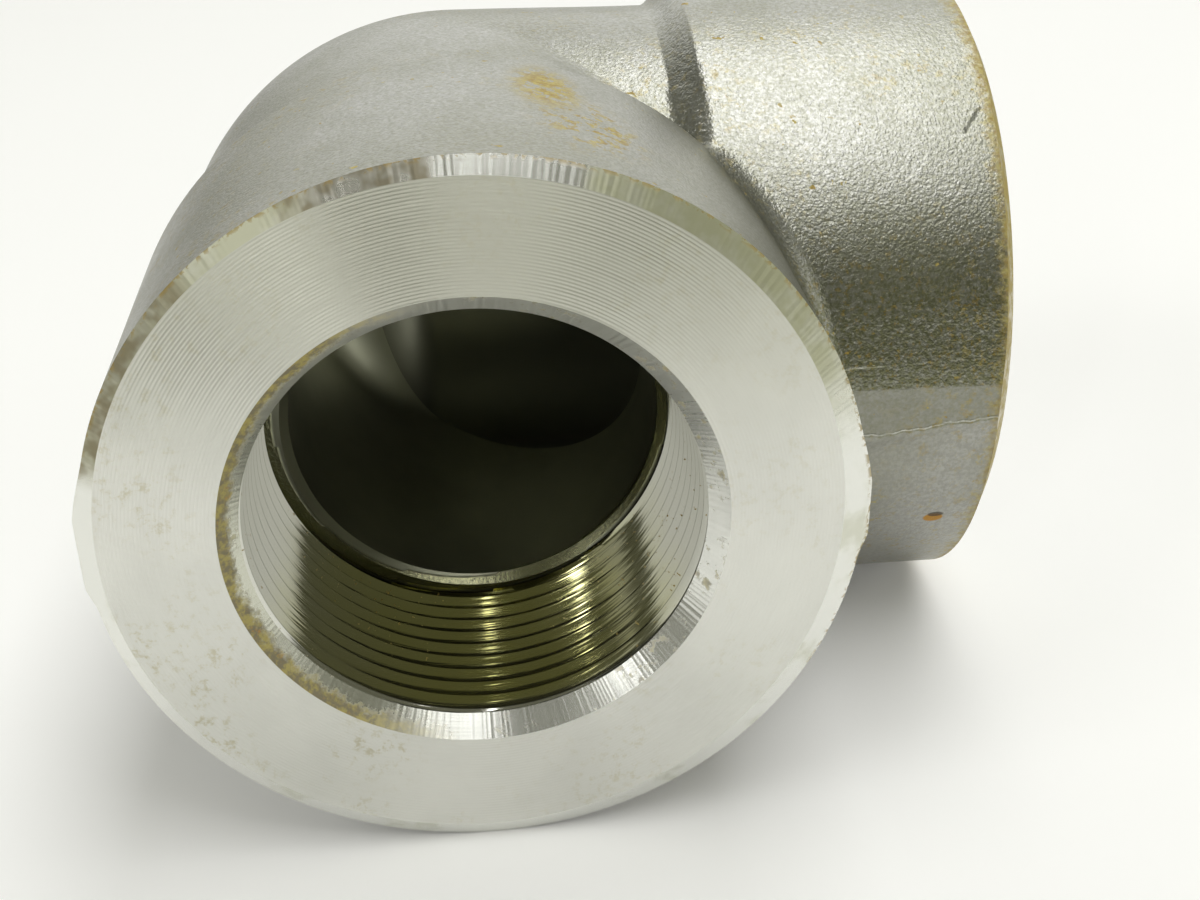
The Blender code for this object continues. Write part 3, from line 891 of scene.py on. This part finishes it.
def mouth_chamfer_material(finish):
    """Mouth chamfer: bright steel with fine chatter, and rust on the left at its outer edge."""
    m = Maker("mouth_chamfer")
    bars = m.noise(1.0, 0.0, 0.5, (380.0, 20.0))
    lines = m.noise(5000.0, 2.0, 0.5, (0.002, 1.0))
    normal = m.bump(m.plus(bars, m.times(lines, 0.1)), 0.00003)
    left = m.fade(m.axis("X"), -0.026, -0.013)
    edge = m.fade(m.plus(m.turned("Y"), m.times(m.noise(620.0, 4.0, 0.75), -0.0034)), -0.0008, 0.0003)
    spots = m.times(m.ramp(m.noise(800.0, 4.0, 0.7), 0.54, 0.64), m.ramp(m.noise(60.0, 2.0), 0.46, 0.58))
    rust = m.most(m.times(left, edge), m.times(spots, 0.7))
    m.tone = m.mix(m.ramp(m.noise(90.0, 3.0), 0.35, 0.65), finish.bright, shade(finish.bright, 0.85))
    upper = m.ramp(m.axis("Z"), 0.042, 0.060)
    m.coat(m.most(m.times(left, 0.45), m.times(upper, 0.25)), finish.film)
    rusty = m.mix(m.ramp(m.noise(1000.0, 4.0, 0.7), 0.40, 0.62), finish.stain, finish.rust_light)
    rusty = m.mix(m.ramp(m.noise(700.0, 4.0, 0.75), 0.60, 0.70, 0.0, 0.8), rusty, finish.rust_orange)
    m.coat(m.times(rust, 0.9), rusty)
    dull = m.plus(m.times(rust, 0.4), m.times(upper, 0.2))
    roughness = m.plus(m.ramp(bars, 0.3, 0.7, 0.17, 0.24), dull)
    metallic = m.ramp(rust, 0.0, 1.0, 0.75, 0.3)
    return m.finish(roughness, metallic, normal)


def thread_material(finish):
    """Threads: steel flanks, painted shade deep in the grooves, an oil film low down and a few rust specks.
    """
    m = Maker("thread_flanks")
    oil_edge = m.plus(m.axis("Z"), m.times(m.noise(130.0, 3.0), 0.006))
    m.tone = m.mix(m.fade(oil_edge, 0.016, 0.034), finish.thread, finish.oil)
    # Painted highlight: a lighter colour over the first turns behind the mouth chamfer.
    m.coat(m.fade(m.turned("Y"), 0.0026, 0.0046), finish.first_turns_highlight)
    # Painted shade: the deepest part of each groove is made near black.
    m.coat(m.ramp(m.attribute("groove"), 0.72, 0.97), finish.roots)
    specks = m.times(m.ramp(m.noise(1900.0, 2.0, 0.6), 0.66, 0.74), m.ramp(m.noise(70.0, 2.0), 0.48, 0.58))
    m.coat(m.times(specks, 0.9), finish.rust)
    normal = m.bump(m.noise(5000.0, 2.0, 0.5, (0.002, 1.0)), 0.00002)
    roughness = m.plus(m.ramp(m.noise(200.0, 3.0), 0.3, 0.7, 0.075, 0.11), m.times(specks, 0.4))
    metallic = m.ramp(specks, 0.0, 1.0, 0.95, 0.3)
    return m.finish(roughness, metallic, normal)


def bore_material(finish):
    """Bores: dark oiled steel with faint drawn streaks, a grainy lip, painted shade on the shoulder and bore
    B darkened as painted shade.
    """
    m = Maker("oiled_bore")
    along = m.turned("Y")
    lip = m.times(m.ramp(along, 0.0004, 0.0007), m.fade(along, 0.0021, 0.0024))
    streaks = m.noise(1.0, 3.0, 0.5, (160.0, 30.0))
    m.tone = m.mix(m.ramp(m.noise(60.0, 3.0), 0.35, 0.65), finish.bore, shade(finish.bore, 0.85))
    # Painted shade: bore B is made darker all over.
    m.coat(m.attribute("shaded_second_bore"), shade(finish.bore, 0.5))
    # Painted shade: the shoulder at the start of the bore is made near black.
    m.coat(m.fade(along, 0.0, 0.0006), finish.corner)
    m.coat(lip, finish.lip)
    grain = m.times(m.noise(2400.0, 3.0), lip)
    normal = m.bump(m.plus(m.times(streaks, 0.15), grain), 0.00006)
    roughness = m.plus(m.ramp(m.noise(90.0, 3.0), 0.3, 0.7, 0.34, 0.40), m.times(lip, -0.12))
    return m.finish(roughness, 0.95, normal)


def floor_material(studio):
    """Pale floor: near white and matt, with soft undulations, and lighter to the eye and in gloss."""
    m = Maker("pale_floor")
    normal = m.bump(m.noise(9.0, 2.0), 0.004, 0.5)
    rays = m.node("LightPath")
    seen = m.most(rays.outputs["Is Camera Ray"], rays.outputs["Is Glossy Ray"])
    seen = m.most(seen, rays.outputs["Is Transmission Ray"])
    glow = m.ramp(seen, 0.0, 1.0, 0.0, studio.floor_glow)
    m.tone = tuple(studio.floor)
    return m.finish(0.9, 0.0, normal, Emission_Color=m.tone, Emission_Strength=glow)


# The pieces.

class ELBOW_OT_forged_skin(bpy.types.Operator):
    """Build the forged skin of both arms as one surface"""
    bl_idname = "elbow.forged_skin"
    bl_label = "Forged Skin"

    def execute(self, context):
        sizes = context.scene.elbow_sizes
        _, forged = centres(sizes)
        around = angles_round()
        half_a = skin_half(sizes, around, "a")
        half_b = skin_half(sizes, around, "b")
        rows, columns = half_a.shape[:2]
        index_a = np.arange(rows * columns).reshape(rows, columns)
        index_b = np.arange(rows * (columns - 1)).reshape(rows, columns - 1) + rows * columns
        index_b = np.concatenate((index_b, index_a[:, -1:]), axis=1)
        points = np.concatenate((half_a.reshape(-1, 3), half_b[:, :-1].reshape(-1, 3)))
        faces = np.concatenate((quads(index_a), quads(index_b, flip=True)))
        mesh = mesh_of("forged_skin", points + forged, faces)
        over, under = land_edges(sizes, points)
        values_on_points(mesh, "over_land", over)
        values_on_points(mesh, "under_land", under)
        over_flash = points[:, 2] - sizes.flash_line - sizes.flash_line_slope * points[:, 0]
        values_on_points(mesh, "over_flash", over_flash)
        add_piece("forged_skin", mesh, forged_skin_material(context.scene.elbow_finish))
        return {"FINISHED"}


class ELBOW_OT_turned_ends(bpy.types.Operator):
    """Build the end chamfer, end face and mouth chamfer of both arms"""
    bl_idname = "elbow.turned_ends"
    bl_label = "Turned Ends"

    def execute(self, context):
        sizes = context.scene.elbow_sizes
        finish = context.scene.elbow_finish
        makers = (end_chamfer_material, turned_face_material, mouth_chamfer_material)
        materials = [make(finish) for make in makers]
        for arm in ARMS:
            turn, surfaces = end_surfaces(sizes, arm)
            for (name, radius, depth), material in zip(surfaces, materials):
                add_piece(name + arm, turned_mesh(name + arm, sizes, radius, turn, depth, arm), material)
        return {"FINISHED"}


class ELBOW_OT_threads(bpy.types.Operator):
    """Build the tapered pipe thread of both sockets"""
    bl_idname = "elbow.threads"
    bl_label = "Threads"

    def execute(self, context):
        sizes = context.scene.elbow_sizes
        material = thread_material(context.scene.elbow_finish)
        for arm in ARMS:
            turn = rising_turns(sizes, arm)
            depth, radius, groove, pitch_rows = thread_grid(sizes, turn, arm)
            points = in_arm(sizes, radius, turn[:, None], depth, arm)
            faces = thread_faces(sizes, depth, pitch_rows, arm)
            mesh = mesh_of("thread_" + arm, points.reshape(-1, 3), faces)
            values_on_points(mesh, "groove", np.tile(groove, len(turn)))
            grid_uv(mesh, np.repeat(turn, depth.shape[1]) / FULL_TURN, depth.ravel())
            weld(mesh)
            add_piece("thread_" + arm, mesh, material, sharp=24.0)
        return {"FINISHED"}


class ELBOW_OT_bores(bpy.types.Operator):
    """Build both bores with their shoulders and lips, up to the plane where they meet"""
    bl_idname = "elbow.bores"
    bl_label = "Bores"

    def execute(self, context):
        sizes = context.scene.elbow_sizes
        material = bore_material(context.scene.elbow_finish)
        machined, _ = centres(sizes)
        for arm in ARMS:
            turn = rising_turns(sizes, arm)
            grid = bore_grid(sizes, turn, arm)
            points = (grid if arm == "a" else swap_arms(grid)) + machined
            mesh = grid_mesh("bore_" + arm, points, flip=arm == "a")
            path = path_length(np.linalg.norm(np.diff(grid, axis=1), axis=2))
            grid_uv(mesh, np.repeat(turn, grid.shape[1]) / FULL_TURN, path)
            # Marks bore B, which the material darkens as painted shade.
            values_on_points(mesh, "shaded_second_bore", np.full(path.size, float(arm == "b")))
            add_piece("bore_" + arm, mesh, material, sharp=24.0)
        return {"FINISHED"}


# The studio.

def add_floor(studio):
    """Add the floor as a flat grid."""
    side = np.linspace(-studio.floor_size / 2.0, studio.floor_size / 2.0, 41)
    x, y = np.meshgrid(side, side, indexing="ij")
    points = np.stack((x, y, np.zeros_like(x)), axis=-1).reshape(-1, 3)
    index = np.arange(x.size).reshape(x.shape)
    mesh = mesh_of("floor", points, strips(index.T[:-1], index.T[1:]))
    mesh.materials.append(floor_material(studio))
    floor = link("floor", mesh)


def add_world(studio):
    """Add the even light from all sides."""
    world = bpy.data.worlds.new("studio")
    world.use_nodes = True
    background = world.node_tree.nodes["Background"]
    background.inputs["Color"].default_value = (*studio.world_colour, 1.0)
    background.inputs["Strength"].default_value = studio.world
    bpy.context.scene.world = world


def add_lamp(name, towards, distance, size, power):
    """Add a softbox that faces the elbow from a direction."""
    data = bpy.data.lights.new(name, "AREA")
    data.shape = "RECTANGLE"
    data.size, data.size_y = size
    data.energy = power
    towards = Vector(towards).normalized()
    light = link(name, data)
    light.location = Vector(LAMP_AIM) + towards * distance
    light.rotation_euler = towards.to_track_quat("Z", "Y").to_euler()


def add_camera(studio):
    """Add the camera, turned by its azimuth, elevation and roll, and make it the scene's own."""
    az, el, roll = studio.camera_turn
    back = Vector((math.sin(az) * math.cos(el), -math.cos(az) * math.cos(el), math.sin(el)))
    right = Vector((math.cos(az), math.sin(az), 0.0))
    up = back.cross(right)
    right_rolled = math.cos(roll) * right + math.sin(roll) * up
    up_rolled = math.cos(roll) * up - math.sin(roll) * right
    turn = Matrix((right_rolled, up_rolled, back)).transposed().to_4x4()
    data = bpy.data.cameras.new("camera")
    data.sensor_width = 36.0
    data.lens = studio.lens
    data.clip_start = 0.005
    camera = link("camera", data)
    camera.matrix_world = Matrix.Translation(studio.camera_place) @ turn
    bpy.context.scene.camera = camera


class ELBOW_OT_studio(bpy.types.Operator):
    """Build the pale floor, the lamps, the world and the camera"""
    bl_idname = "elbow.studio"
    bl_label = "Studio"

    def execute(self, context):
        studio = context.scene.elbow_studio
        add_floor(studio)
        add_world(studio)
        for settings in LAMPS:
            add_lamp(*settings)
        add_camera(studio)
        context.scene.view_settings.view_transform = "Standard"
        return {"FINISHED"}


class ELBOW_PT_build(bpy.types.Panel):
    """Buttons that build the elbow's pieces and its studio"""
    bl_idname = "ELBOW_PT_build"
    bl_label = "Forged Elbow"
    bl_space_type = "VIEW_3D"
    bl_region_type = "UI"
    bl_category = "Elbow"

    def draw(self, context):
        for operator in BUILD_ORDER:
            self.layout.operator(operator.bl_idname)


GROUPS = (ElbowSizes, SteelFinish, StudioSettings)
BUILD_ORDER = (ELBOW_OT_forged_skin, ELBOW_OT_turned_ends, ELBOW_OT_threads, ELBOW_OT_bores, ELBOW_OT_studio)


def register():
    """Register every class and hang the settings on the scene."""
    for cls in GROUPS + BUILD_ORDER + (ELBOW_PT_build,):
        bpy.utils.register_class(cls)
    bpy.types.Scene.elbow_sizes = bpy.props.PointerProperty(type=ElbowSizes)
    bpy.types.Scene.elbow_finish = bpy.props.PointerProperty(type=SteelFinish)
    bpy.types.Scene.elbow_studio = bpy.props.PointerProperty(type=StudioSettings)


def unregister():
    """Undo register."""
    del bpy.types.Scene.elbow_studio
    del bpy.types.Scene.elbow_finish
    del bpy.types.Scene.elbow_sizes
    for cls in reversed(GROUPS + BUILD_ORDER + (ELBOW_PT_build,)):
        bpy.utils.unregister_class(cls)


def main():
    """Build everything in order."""
    register()
    bpy.ops.elbow.forged_skin()
    bpy.ops.elbow.turned_ends()
    bpy.ops.elbow.threads()
    bpy.ops.elbow.bores()
    bpy.ops.elbow.studio()


if __name__ == "__main__":
    main()
